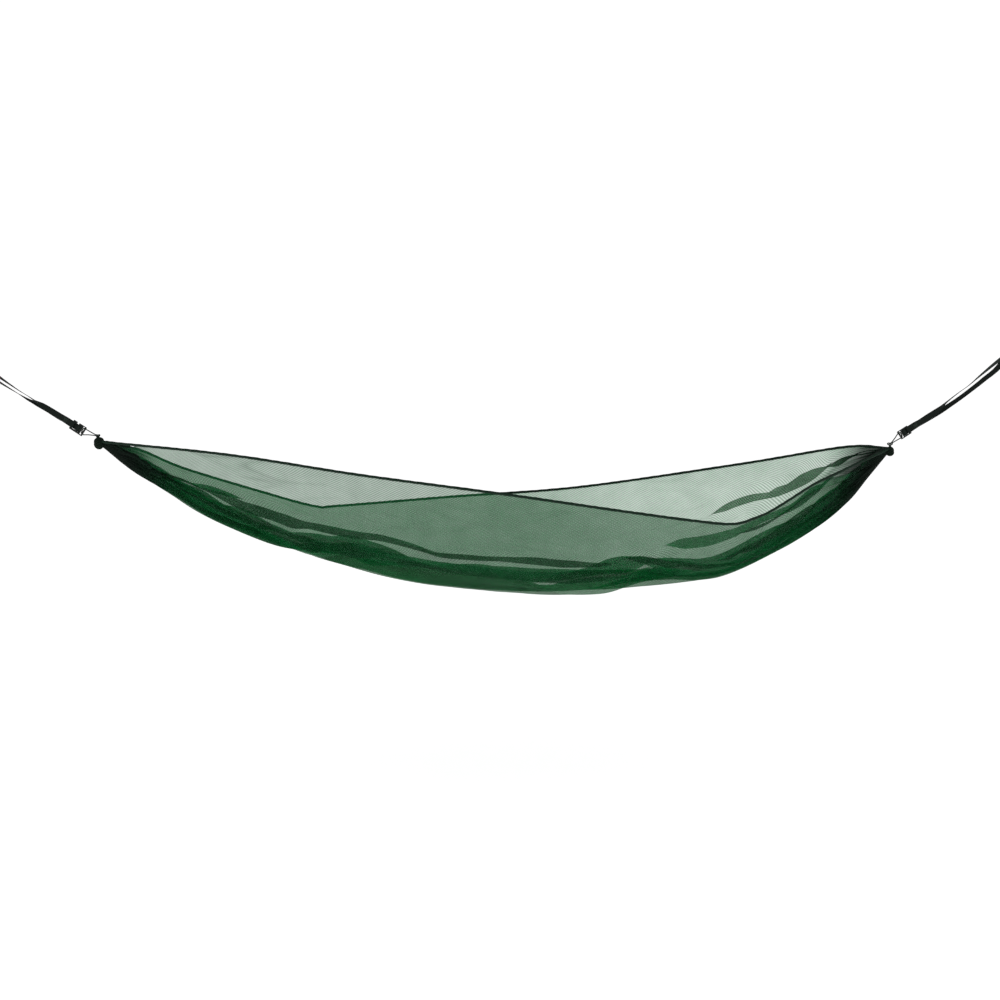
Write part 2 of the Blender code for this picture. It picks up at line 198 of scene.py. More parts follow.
class Nodes:
    # a short way to write a material's nodes

    def __init__(self, name):
        self.material = bpy.data.materials.new(name)
        self.material.use_nodes = True
        self.tree = self.material.node_tree
        self.shader = self.tree.nodes["Principled BSDF"]
        self.output = self.tree.nodes["Material Output"]

    def add(self, kind, inputs=None, **settings):
        node = self.tree.nodes.new(kind)
        for key, value in settings.items():
            setattr(node, key, value)
        for key, value in (inputs or {}).items():
            if isinstance(value, bpy.types.NodeSocket):
                self.tree.links.new(value, node.inputs[key])
            else:
                node.inputs[key].default_value = value
        return node

    def math(self, operation, a, b=0.0, c=0.0):
        return self.add("ShaderNodeMath", {0: a, 1: b, 2: c}, operation=operation).outputs[0]

    def uv(self):
        # metres along and across the cloth
        split = self.add("ShaderNodeSeparateXYZ", {0: self.add("ShaderNodeUVMap", uv_map="cloth").outputs[0]})
        return split.outputs[0], split.outputs[1]

    def place(self):
        return self.add("ShaderNodeTexCoord").outputs["Object"]

    def noise(self, scale, detail=3.0, rough=0.6):
        inputs = {"Vector": self.place(), "Scale": scale, "Detail": detail, "Roughness": rough}
        return self.add("ShaderNodeTexNoise", inputs).outputs["Fac"]

    def wave(self, along, pitch, phase=0.0):
        # sine of a length, one turn to each pitch
        return self.math("SINE", self.math("MULTIPLY_ADD", along, 2 * math.pi / pitch, phase))

    def ramp(self, value, stops):
        node = self.add("ShaderNodeValToRGB", {0: value})
        node.color_ramp.elements[0].position = stops[0][0]
        node.color_ramp.elements[0].color = (*stops[0][1], 1)
        node.color_ramp.elements[1].position = stops[-1][0]
        node.color_ramp.elements[1].color = (*stops[-1][1], 1)
        for position, colour in stops[1:-1]:
            element = node.color_ramp.elements.new(position)
            element.color = (*colour, 1)
        return node.outputs[0]

    def bump(self, height, strength, distance):
        inputs = {"Height": height, "Strength": strength, "Distance": distance}
        return self.add("ShaderNodeBump", inputs).outputs[0]

    def set(self, **sockets):
        for key, value in sockets.items():
            socket = self.shader.inputs[key.replace("_", " ")]
            if isinstance(value, bpy.types.NodeSocket):
                self.tree.links.new(value, socket)
            else:
                socket.default_value = value


def darker(colour, share):
    return tuple(share * c for c in colour)


meshFinish = {
    "pitch": 0.0021,  # from one hole to the next, on the slant
    "holeDepth": 0.34,  # how much the cover changes from hole to yarn
    "holeGain": 1.6, "holeCap": 0.8,  # steeper sides and a flat middle to each hole
    "drift": 9.0, "driftScale": 9,  # how far the slanting lines wander
    "patchScale": 14, "patchDepth": 0.35,  # uneven cover in broad patches
    "looseFrom": 3.0,  # cloth with a third or more bare counts as one loose layer; denser cloth is given the painted gathered shade
    "passed": 0.5,  # share of light that loose yarn lets through
    "lineAlong": 0.0105, "lineAcross": 0.0072, "lineDepth": 0.34,  # faint slanting lines of the knit
    "yarn": (0.014, 0.046, 0.026), "throughYarn": (0.004, 0.24, 0.06), "holeTint": (0.915, 1.0, 0.935),
    "gatheredShade": (0.005, 0.009, 0.0065),  # painted shade: a near-black yarn colour where many layers are drawn together
    "roughness": 0.7,
}


def makeMeshCloth():
    # open knit: cover = the cover attribute + holes on a slanting square grid + faint lines.
    # what isn't covered is clear, and the yarn both reflects light and passes a little green light on
    f = meshFinish
    n = Nodes("mesh_cloth")
    along, across = n.uv()
    k = math.sqrt(0.5)
    one = n.math("ADD", n.math("MULTIPLY", along, k), n.math("MULTIPLY", across, k))
    two = n.math("SUBTRACT", n.math("MULTIPLY", along, k), n.math("MULTIPLY", across, k))
    holes = n.math("MULTIPLY", n.wave(one, f["pitch"]), n.wave(two, f["pitch"]))
    holes = n.math("MINIMUM", n.math("MULTIPLY", holes, f["holeGain"]), f["holeCap"])
    holes = n.math("MAXIMUM", holes, -f["holeCap"])
    drift = n.math("MULTIPLY", n.noise(f["driftScale"], 2), f["drift"])
    slant = n.math("ADD", n.math("DIVIDE", along, f["lineAlong"]), n.math("DIVIDE", across, f["lineAcross"]))
    lines = n.math("SINE", n.math("ADD", n.math("MULTIPLY", slant, 2 * math.pi), drift))
    patch = n.math("SUBTRACT", n.noise(f["patchScale"], 2), 0.5)
    cover = n.add("ShaderNodeAttribute", attribute_name="cover").outputs["Fac"]
    bare = n.math("SUBTRACT", 1.0, cover)
    loose = n.math("MINIMUM", n.math("MULTIPLY", bare, f["looseFrom"]), 1.0)
    cover = n.math("ADD", cover, n.math("MULTIPLY", n.math("MULTIPLY", holes, f["holeDepth"]), bare))
    cover = n.math("ADD", cover, n.math("MULTIPLY", n.math("MULTIPLY", lines, f["lineDepth"]), bare))
    cover = n.math("ADD", cover, n.math("MULTIPLY", n.math("MULTIPLY", patch, f["patchDepth"]), bare))
    cover = n.math("MAXIMUM", n.math("MINIMUM", cover, 1.0), 0.0)
    tone = n.noise(35, 4)
    dyed = n.ramp(tone, [(0.3, darker(f["yarn"], 0.75)), (0.7, darker(f["yarn"], 1.2))])
    # base colour: the dyed yarn where the cloth is loose, fading to a near-black painted shade colour where
    # the cover is high, standing for shade among layers drawn together
    base = n.add("ShaderNodeMix", {0: loose, 6: (*f["gatheredShade"], 1), 7: dyed}, data_type="RGBA")
    n.set(Base_Color=base.outputs[2],
          Roughness=n.math("ADD", f["roughness"], n.math("MULTIPLY", holes, 0.12)),
          Sheen_Weight=0.03, Sheen_Roughness=0.4, Specular_IOR_Level=0.05,
          Normal=n.bump(holes, 0.3, 0.0003))
    glow = n.ramp(tone, [(0.3, darker(f["throughYarn"], 0.85)), (0.7, f["throughYarn"])])
    through = n.add("ShaderNodeBsdfTranslucent", {"Color": glow})
    passed = n.math("MULTIPLY", loose, f["passed"])
    yarn = n.add("ShaderNodeMixShader", {0: passed, 1: n.shader.outputs[0], 2: through.outputs[0]})
    clear = n.add("ShaderNodeBsdfTransparent", {"Color": (*f["holeTint"], 1)})
    cloth = n.add("ShaderNodeMixShader", {0: cover, 1: clear.outputs[0], 2: yarn.outputs[0]})
    n.tree.links.new(cloth.outputs[0], n.output.inputs["Surface"])
    return n.material


def makeWoven(name, colour, pitch, roughness, ribs=0.0, lift=0.00015):
    # plain weave: height = sine along times sine across, with lengthwise ribs when ribs is their pitch.
    # the yarn's top is painted lighter than the gaps (painted highlight on the tops, painted shade in the
    # gaps), and a slow noise fades the dye unevenly
    n = Nodes(name)
    along, across = n.uv()
    weave = n.math("MULTIPLY", n.wave(along, pitch), n.wave(across, pitch))
    if ribs:
        weave = n.math("ADD", n.math("MULTIPLY", weave, 0.5), n.math("MULTIPLY", n.wave(across, ribs), 0.6))
    height = n.math("MULTIPLY_ADD", weave, 0.5, 0.5)
    fade = n.noise(60, 4)
    tone = n.math("ADD", n.math("MULTIPLY", height, 0.6), n.math("MULTIPLY", fade, 0.5))
    # base colour: painted shade in the weave's gaps, painted highlight on the yarn tops, and uneven dye
    n.set(Base_Color=n.ramp(tone, [(0.1, darker(colour, 0.55)), (0.55, colour), (0.95, darker(colour, 1.7))]),
          Roughness=n.math("MULTIPLY_ADD", fade, 0.2, roughness - 0.1),
          Sheen_Weight=0.04, Sheen_Roughness=0.45, Specular_IOR_Level=0.10,
          Normal=n.bump(height, 0.6, lift))
    return n.material


def makeBraid(name, colour, pitch, girth):
    # round braid: two families of slanting strands, height = the greater of two slanting sines; the colour is
    # painted darker in the grooves and lighter on the strand tops (painted shade and painted highlight), with
    # uneven dye
    n = Nodes(name)
    along, across = n.uv()
    one = n.math("SINE", n.math("MULTIPLY", n.math("ADD", n.math("DIVIDE", along, pitch),
                                                   n.math("DIVIDE", across, girth / 4)), 2 * math.pi))
    two = n.math("SINE", n.math("MULTIPLY", n.math("SUBTRACT", n.math("DIVIDE", along, pitch),
                                                   n.math("DIVIDE", across, girth / 4)), 2 * math.pi))
    height = n.math("MULTIPLY_ADD", n.math("MAXIMUM", one, two), 0.5, 0.5)
    fade = n.noise(300, 3)
    tone = n.math("ADD", n.math("MULTIPLY", height, 0.7), n.math("MULTIPLY", fade, 0.4))
    # base colour: painted shade in the grooves between strands, painted highlight on their tops, and uneven
    # dye
    n.set(Base_Color=n.ramp(tone, [(0.1, darker(colour, 0.5)), (0.6, colour), (1.0, darker(colour, 1.6))]),
          Roughness=n.math("MULTIPLY_ADD", fade, 0.2, 0.6), Sheen_Weight=0.04, Specular_IOR_Level=0.12,
          Normal=n.bump(height, 0.7, 0.0002))
    return n.material


def makeThread(name, colour):
    n = Nodes(name)
    fade = n.noise(900, 3)
    n.set(Base_Color=n.ramp(fade, [(0.3, darker(colour, 0.6)), (0.7, darker(colour, 1.4))]),
          Roughness=n.math("MULTIPLY_ADD", fade, 0.2, 0.5), Normal=n.bump(fade, 0.4, 0.0001))
    return n.material


def makePlastic(name, colour):
    # moulded plastic: a fine spark-eroded grain, scuffs that are duller and paler, mould-flow tone
    n = Nodes(name)
    grain = n.noise(2600, 2)
    scuff = n.noise(180, 6, 0.7)
    flow = n.noise(45, 2)
    worn = n.ramp(scuff, [(0.56, (0, 0, 0)), (0.70, (1, 1, 1))])
    shade = n.ramp(flow, [(0.3, darker(colour, 0.8)), (0.7, darker(colour, 1.25))])
    mixed = n.add("ShaderNodeMix", {0: worn, 6: shade, 7: (*darker(colour, 2.2), 1)}, data_type="RGBA")
    n.set(Base_Color=mixed.outputs[2],
          Roughness=n.math("ADD", n.math("MULTIPLY", scuff, 0.35), n.math("MULTIPLY", grain, 0.25)),
          Specular_IOR_Level=0.25,
          Normal=n.bump(n.math("ADD", grain, n.math("MULTIPLY", worn, -0.3)), 0.25, 0.0001))
    return n.material


meshCloth = makeMeshCloth()
hemCloth = makeWoven("hem_cloth", (0.007, 0.021, 0.012), 0.0008, 0.7)
channelCloth = makeWoven("channel_cloth", (0.006, 0.014, 0.008), 0.0010, 0.7)
webbingCloth = makeWoven("webbing", (0.010, 0.0145, 0.012), 0.0014, 0.75, ribs=0.0021, lift=0.0003)
cordBraid = makeBraid("cord", (0.009, 0.017, 0.012), 0.0045, 2 * math.pi * 0.0016)
stitchThread = makeThread("thread", (0.010, 0.024, 0.015))
blackPlastic = makePlastic("black_plastic", (0.0065, 0.0095, 0.0080))
print("materials made")


# the straps: one length of webbing a side, sewn to the buckle, round the post and back
strapFacts = {
    "width": 0.019, "thick": 0.0016, "halfSpan": 1.6465, "postRadius": 0.040, "loopLean": 0.008,
    "wrapRadius": 0.004238, "layer": 0.0020, "seamStart": 0.015, "seamLength": 0.020, "seamLayer": 0.0012,
    "tailLength": 0.030, "gap": 0.0004, "slope": math.radians(33),
    "seamEntry": 0.006, "entryShare": 0.8,  # where the sewn end starts to close on its own strap
    "laidLength": 0.025,  # how far the adjustable strand lies on the tail
    "tailDrop": 0.0008, "wrapFall": (0.0006, 0.0030),
    "postApproach": (0.030, 0.012, 0.0006), "approachFall": 0.35,  # last points before the post
    "stitchTurns": 13, "stitchRadius": 0.00034, "stitchStart": 0.004, "stitchShare": (0.6, 0.375),
}
# a strand's points are u, w, n and its turn in degrees: u runs from the cord bar to the post,
# w is up across the webbing and n is away from the near side
leftEnd = {
    "side": "left", "sign": -1, "cordBar": (-1.2232, 0.0, -0.2805),
    "middleBar": 0.0195, "endBar": 0.0405, "halfWidth": 0.01525, "thumbPlate": (0.0074, 0.0140),
    "knot": (-1.1800, 0.0, -0.2933), "knotRadius": 0.0045, "legs": (0.0108, -0.0090),
    "channel": (-1.1761, 0.0, -0.3148), "channelSize": (0.0162, 0.0180), "upperIsFar": 1,
    "upper": [(0.0845, -0.0010, -0.0014, 0), (0.1450, -0.0012, -0.0030, 40), (0.1750, -0.0010, -0.0040, 88),
              (0.1950, -0.0006, -0.0040, 96), (0.2360, -0.0016, -0.0020, 103), (0.3010, -0.0012, 0.0060, 120),
              (0.3800, 0.0006, 0.0200, 150)],
    "lower": [(0.0845, -0.0010, 0.0072, 0), (0.1450, -0.0035, 0.0070, 15), (0.1750, -0.0080, 0.0064, 60),
              (0.1950, -0.0105, 0.0052, 78), (0.2360, -0.0117, 0.0020, 100), (0.3010, -0.0118, -0.0070, 118),
              (0.3800, -0.0080, -0.0200, 150)],
}
rightEnd = {
    "side": "right", "sign": 1, "cordBar": (1.2506, 0.0, -0.29145),
    "middleBar": 0.0165, "endBar": 0.0310, "halfWidth": 0.0135, "thumbPlate": (0.0074, 0.0111),
    "knot": (1.2204, 0.0, -0.3188), "knotRadius": 0.0050, "legs": (0.0088, -0.0090),
    "channel": (1.2204, 0.0, -0.3406), "channelSize": (0.0128, 0.0142), "upperIsFar": -1,
    "upper": [(0.0750, -0.0002, -0.0014, 0), (0.1220, 0.0010, -0.0040, 35), (0.1500, 0.0048, -0.0080, 72),
              (0.1726, 0.0090, -0.0100, 90), (0.2180, 0.0130, -0.0100, 97), (0.2536, 0.0146, -0.0100, 102),
              (0.3110, 0.0225, -0.0120, 118), (0.3776, 0.0300, -0.0200, 136)],
    "lower": [(0.0750, -0.0018, 0.0072, 0), (0.1220, -0.0045, 0.0090, 14), (0.1500, -0.0062, 0.0100, 36),
              (0.1726, -0.0070, 0.0110, 50), (0.2180, -0.0062, 0.0130, 56), (0.2536, -0.0042, 0.0150, 56),
              (0.3110, 0.0005, 0.0190, 52), (0.3776, 0.0085, 0.0260, 42)],
}


def directions(end):
    slope = strapFacts["slope"]
    along = np.array((end["sign"] * math.cos(slope), 0, math.sin(slope)))
    across = np.array((-end["sign"] * math.sin(slope), 0, math.cos(slope)))
    return along, across, np.array((0.0, 1.0, 0.0))


def place(end, rows):
    # points given as u, w, n, in world space
    rows = np.atleast_2d(np.asarray(rows, float))
    along, across, away = directions(end)
    return np.array(end["cordBar"]) + rows[:, :1] * along + rows[:, 1:2] * across + rows[:, 2:3] * away


def arc(centre, radius, start, stop, steps):
    turn = np.radians(np.linspace(start, stop, steps))
    return [(centre + radius * math.cos(a), 0, radius * math.sin(a), 0) for a in turn]


def postEnd(end, height, depth):
    # the last points of a strand, where it reaches the post level and along X
    along, across, _ = directions(end)
    f, rows = strapFacts, []
    for back in f["postApproach"]:
        offset = np.array((end["sign"] * (f["halfSpan"] - back), depth, height - back * f["approachFall"]))
        offset = offset - np.array(end["cordBar"])
        rows.append((offset @ along, offset @ across, depth))
    return rows


def strand(end, rows, squareEnd):
    # the middle line of a strand and its width direction, turned about the line
    along, across, away = directions(end)
    middle = place(end, rows)
    turn = np.radians(rows[:, 3])[:, None]
    wide = np.cos(turn) * across + np.sin(turn) * away
    ahead = unit(np.gradient(middle, axis=0))
    if squareEnd:
        ahead[-1] = (1, 0, 0)
    wide = unit(wide - (wide * ahead).sum(1)[:, None] * ahead)
    return middle, wide


def webbingOutline(width, thick, ribs=9, steps=28):
    # across the width: half thickness swells into round edges, with shallow lengthwise ribs
    a = np.linspace(-1, 1, steps)
    body = np.sqrt(np.clip(1 - np.abs(a) ** 14, 0, 1)) * (1 + 0.10 * np.cos(ribs * math.pi * a))
    top = np.stack([a * width / 2, body * thick / 2], axis=1)
    bottom = np.stack([a[::-1] * width / 2, -body[::-1] * thick / 2], axis=1)
    return np.vstack([top, bottom[1:-1]])


def joined(parts):
    # strands end to end, each one's width direction turned to agree with the one before
    lines, wides = [parts[0][0]], [parts[0][1]]
    for line, wide in parts[1:]:
        if wide[0] @ wides[-1][-1] < 0:
            wide = -wide
        lines.append(line[1:])
        wides.append(wide[1:])
    return np.vstack(lines), np.vstack(wides)


def makeStrap(end):
    f = strapFacts
    bar, wrap, side = end["endBar"], f["wrapRadius"], end["side"]
    reach = f["postRadius"] + f["thick"] / 2 + f["gap"]
    far = end["upperIsFar"]
    seam, seamEnd = bar + f["seamStart"], bar + f["seamStart"] + f["seamLength"]
    entry, spread, layer = bar + f["seamEntry"], wrap * f["entryShare"], f["seamLayer"]
    sewn = [(seamEnd, 0, layer, 0), (seam, 0, layer, 0), (entry, 0, spread, 0)]
    sewn += arc(bar, wrap, 90, 270, 9)
    sewn += [(entry, 0, -spread, 0), (seam, 0, -layer, 0), (seamEnd, 0, -layer, 0)]
    turned = 180 if end["upper"][-1][3] > 90 else 0
    upperEnd = [(*row, turned) for row in postEnd(end, far * f["loopLean"], far * reach)]
    upper = strand(end, spline(sewn + end["upper"] + upperEnd, 10), True)
    turned = 180 if end["lower"][-1][3] > 90 else 0
    lowerEnd = [(*row, turned) for row in postEnd(end, -far * f["loopLean"], -far * reach)]
    load = wrap + 2 * f["layer"]
    start = [(bar + f["gap"], 0, load, 0), (bar + f["laidLength"], 0, load, 0)]
    lower = strand(end, spline(start + end["lower"] + lowerEnd, 10), True)
    turn = np.radians(np.linspace(90, -90, 49)) * far
    loop = np.stack([end["sign"] * (f["halfSpan"] + reach * np.cos(turn)), reach * np.sin(turn),
                     f["loopLean"] * np.sin(turn)], axis=1)
    upright = np.broadcast_to(np.array((0.0, 0.0, 1.0)), loop.shape)
    path, wide = joined([upper, (loop, upright), (lower[0][::-1], lower[1][::-1])])
    piece = sweep(side + "_strap", path, wide, webbingOutline(f["width"], f["thick"]), webbingCloth,
                  roundEnds=0.0004)
    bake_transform(piece)
    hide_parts(side + "_strap_loop", side + "_strap_upper", side + "_strap_lower")
    print(f"{side} strap, {runLength(path)[-1]:.3f} m")


cordFacts = {
    "radius": 0.0016, "knotWide": 1.35, "knotDeep": 1.5,
    "seat": 0.55,  # how deep in its knot a leg starts, as a share of the knot's radius
    "stemThick": 1.7, "stemFrom": 0.1, "stemTo": 0.75, "stemSway": 0.0004,
}


def makeKnot(end):
    # a trefoil drawn tight: sin t + 2 sin 2t lies along X, cos t - 2 cos 2t along Z and -sin 3t along Y
    f, side, radius = cordFacts, end["side"], cordFacts["radius"]
    t = np.linspace(0, 2 * math.pi, 160, endpoint=False)
    size = (end["knotRadius"] + radius / 2) / 3
    wide = f["knotWide"] * (np.sin(t) + 2 * np.sin(2 * t))
    deep = -f["knotDeep"] * np.sin(3 * t)
    flat = np.stack([wide, deep, np.cos(t) - 2 * np.cos(2 * t)], axis=1)
    middle = np.array(end["knot"]) + flat * size
    ahead = unit(np.roll(middle, -1, 0) - np.roll(middle, 1, 0))
    outward = unit(middle - np.array(end["knot"]))
    sideways = unit(np.cross(ahead, outward))
    up = np.cross(sideways, ahead)
    ring = circle(radius, 16)
    points = middle[:, None] + sideways[:, None] * ring[None, :, :1] + up[:, None] * ring[None, :, 1:]
    points = np.concatenate([points, points[:1]])
    run = runLength(np.vstack([middle, middle[:1]]))
    girth = np.linspace(0, 2 * math.pi * radius, 17)
    uv = np.stack(np.broadcast_arrays(run[:, None], girth[None]), axis=-1)
    mesh = gridMesh(side + "_knot", points, uv, wrapped=True, closeEnds=True)
    knot = newPiece(side + "_knot", mesh, cordBraid)
    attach(knot, side + "_cord")
    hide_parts(side + "_cord_knot")
    return knot


def makeStem(end):
    # the end of the cord below its knot, which runs down into the channel
    f, side = cordFacts, end["side"]
    top, bottom = np.array(end["knot"]), np.array(end["channel"])
    stub = top + (bottom - top) * np.linspace(f["stemFrom"], f["stemTo"], 24)[:, None]
    stub = stub + np.array((f["stemSway"], 0.0, 0)) * np.sin(np.linspace(0, 3, 24))[:, None]
    outline = circle(f["radius"] * f["stemThick"], 16)
    stem = sweep(side + "_cord_stem", stub, (0, 1, 0), outline, cordBraid, roundEnds=0.0010)
    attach(stem, side + "_cord")
    return stem


def makeDrawcord(end):
    # the cord leaves its knot, goes round the buckle's cord bar and comes back to the knot
    side, radius = end["side"], cordFacts["radius"]
    along, across, _ = directions(end)
    toKnot = np.array(end["knot"]) - np.array(end["cordBar"])
    knotU, knotW = toKnot @ along, toKnot @ across
    legUp, legDown = end["legs"]

    def legStart(w, n):
        inward = np.array((-knotU, w - knotW))
        inward *= (end["knotRadius"] * cordFacts["seat"]) / np.linalg.norm(inward)
        return (knotU + inward[0], knotW + inward[1], n)

    route = [
        legStart(legUp, -0.0016), (knotU * 0.45, knotW * 0.45 + legUp * 0.53, -0.0036),
        (-0.0030, legUp, -0.0052), (0.0018, legUp * 0.97, -0.0055), (0.0046, legUp * 0.75, -0.0031),
        (0.0051, 0.0, 0.0), (0.0046, legDown * 0.75, 0.0031), (0.0018, legDown * 0.97, 0.0055),
        (-0.0030, legDown, 0.0052), (knotU * 0.45, knotW * 0.45 + legDown * 0.53, 0.0036),
        legStart(legDown, 0.0016),
    ]
    path = place(end, atFractions(route, np.linspace(0, 1, 160)))
    cord = sweep(side + "_cord", path, (0, 1, 0), circle(radius, 18), cordBraid, roundEnds=0.0012)
    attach(cord, side + "_cord")
    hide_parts(side + "_drawcord")

    knot, stem = makeKnot(end), makeStem(end)
    print(f"{side} cord, {runLength(path)[-1]:.3f} m")


for end in (leftEnd, rightEnd):
    makeStrap(end)
    makeDrawcord(end)
print("straps and drawcords made")


# the buckles' webbing, stitches and grips

def makeWrap(end):
    # the adjustable strand's way round the middle bar, which tilts with the buckle
    f = strapFacts
    bar, middle, side, wrap = end["endBar"], end["middleBar"], end["side"], f["wrapRadius"]
    slack, load, tailLayer = bar - middle, wrap + 2 * f["layer"], wrap + f["layer"]
    rows = [(bar - f["gap"] / 4, 0, load, 0), (bar - 0.35 * slack, 0, load - f["wrapFall"][0], 0)]
    rows += [(middle + wrap, 0, wrap + f["thick"], 0)]
    rows += arc(middle, wrap, 90, 360, 11)
    rows += [(bar - 0.50 * slack, 0, tailLayer - f["wrapFall"][1], 0)]
    rows += [(bar - f["gap"] / 4, 0, tailLayer, 0)]
    path, wide = strand(end, spline(rows, 8), False)
    piece = sweep(side + "_wrap", path, wide, webbingOutline(f["width"], f["thick"]), webbingCloth,
                  roundEnds=0.0002)
    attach(piece, side + "_buckle")
    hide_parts(side + "_strap_wrap")

    length = f["tailLength"]
    drop = f["tailDrop"]
    rows = [(bar + f["gap"] / 4, 0, tailLayer, 0), (bar + length / 2, 0, tailLayer - drop / 2, 0),
            (bar + length, 0, tailLayer - drop, 0)]
    path, wide = strand(end, spline(rows, 12), False)
    piece = sweep(side + "_tail", path, wide, webbingOutline(f["width"], f["thick"]), webbingCloth,
                  roundEnds=0.0006)
    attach(piece, "swing")
    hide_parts(side + "_strap_tail")


def makeStitches(end):
    # the sewn block: a zigzag of thread on the near face, where w is a triangle wave
    f = strapFacts
    bar, side = end["endBar"], end["side"]
    start, turns = bar + f["seamStart"] + f["stitchStart"], f["stitchTurns"]
    length, half = f["seamLength"] * f["stitchShare"][0], f["width"] * f["stitchShare"][1]
    t = np.linspace(0, turns, turns * 8 + 1)
    w = (2 * np.abs(2 * (t / 2 - np.floor(t / 2 + 0.5))) - 1) * half
    level = -(f["seamLayer"] + f["thick"] / 2 + 0.0003)
    n = np.full(len(t), level)
    path = place(end, np.stack([start + t / turns * length, w, n], axis=1))
    outline = circle(f["stitchRadius"], 8)
    piece = sweep(side + "_bartack", path, (0, 1, 0), outline, stitchThread, roundEnds=0.0003)
    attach(piece, "swing")
    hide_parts(side + "_strap_bartack")


gripFacts = {"radius": 0.00045, "offsets": (-0.0008, 0.0008), "out": 0.0025, "inset": 0.004}


def makeGrips(end):
    # ribs moulded on the buckle's thumb plate: a half-round section, tapered at both ends
    f = gripFacts
    side, half = end["side"], end["halfWidth"] - f["inset"]
    low, high = end["thumbPlate"]
    middle = (low + high) / 2
    t = np.linspace(-1, 1, 25)
    for k, face in enumerate((-1, 1)):
        for j, offset in enumerate(f["offsets"]):
            rows = np.stack([np.full(25, middle + offset), t * half, np.full(25, face * f["out"])], axis=1)
            taper = np.sqrt(np.clip(1.02 - t**4, 0, 1))
            piece = sweep(f"{side}_grip_{k}{j}", place(end, rows), (0, 1, 0), circle(f["radius"], 10),
                          blackPlastic, scale=taper, roundEnds=0.0003)
            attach(piece, side + "_buckle")


for end in (leftEnd, rightEnd):
    makeWrap(end)
    makeStitches(end)
    makeGrips(end)
    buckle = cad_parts[end["side"] + "_buckle"]
    buckle.data.materials.clear()
    buckle.data.materials.append(blackPlastic)
print("buckles dressed")


